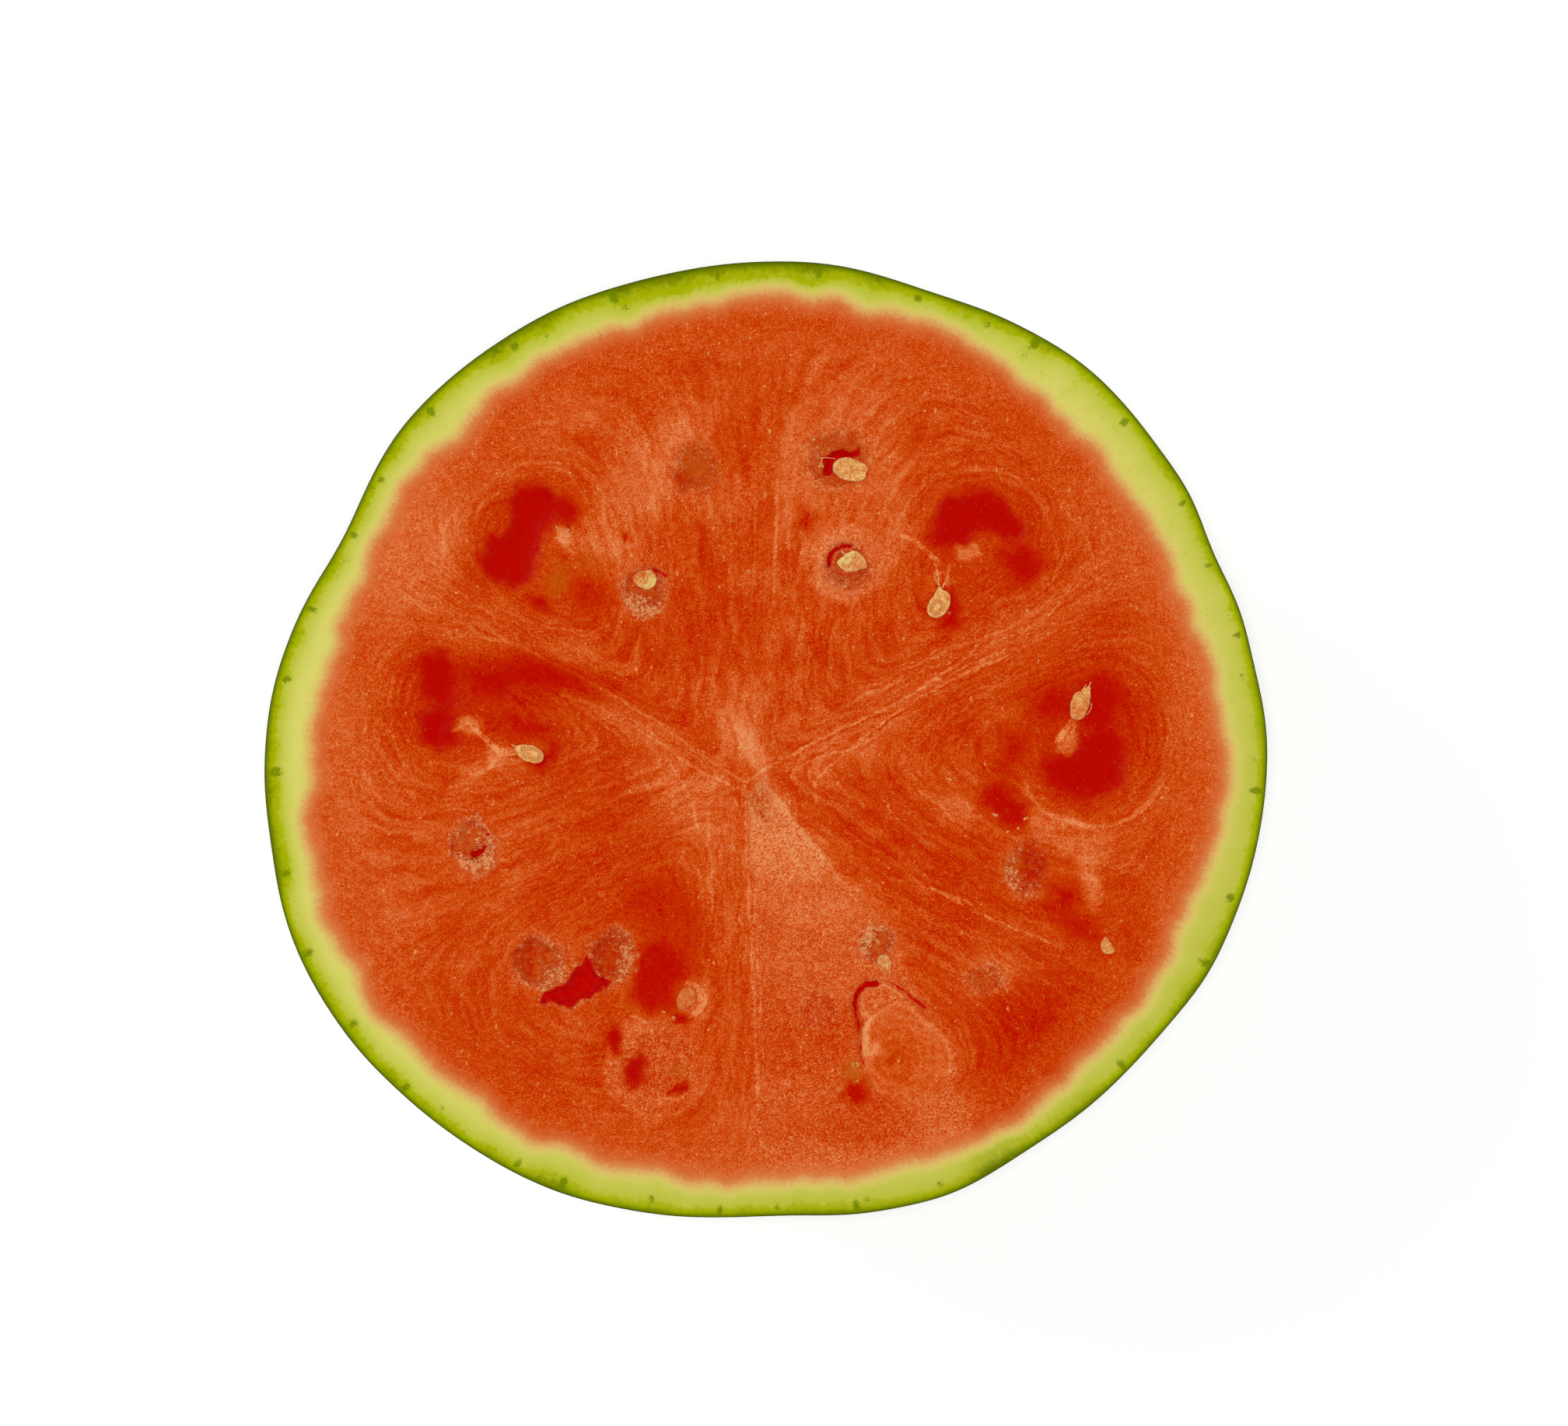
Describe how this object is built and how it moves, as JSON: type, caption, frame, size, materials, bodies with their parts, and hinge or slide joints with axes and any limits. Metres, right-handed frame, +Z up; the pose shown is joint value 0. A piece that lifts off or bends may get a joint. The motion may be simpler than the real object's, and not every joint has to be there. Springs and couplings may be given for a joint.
{
  "type": "cut watermelon half",
  "caption": "Half of a small round watermelon, cut across, standing on its rind with the red cut face and its pale seeds up.",
  "frame": {"origin": "middle of the small flat spot under the half, at the bottom centre of its box", "axes": "+Z up, out of the cut face; +X across the cut face's wider way, to the right as seen from above; +Y towards the top of the face as seen from above"},
  "size_m": [0.2065, 0.197, 0.1046],
  "materials": {
    "melon": "wet granular flesh with salmon fibres inside a yellow-green rind; thin striped green skin outside",
    "seed": "smooth cream seed coat with a paler rim line"
  },
  "bodies": {
    "root": {"watermelon_half": "melon", "seed_1_upper": "seed", "seed_2_upper": "seed", "seed_3_upper_right": "seed", "seed_4_right": "seed", "seed_5_lower_right": "seed", "seed_6_lower": "seed", "seed_7_lower_left": "seed", "seed_8_left": "seed", "seed_9_upper_left": "seed"}
  },
  "joints": []
}
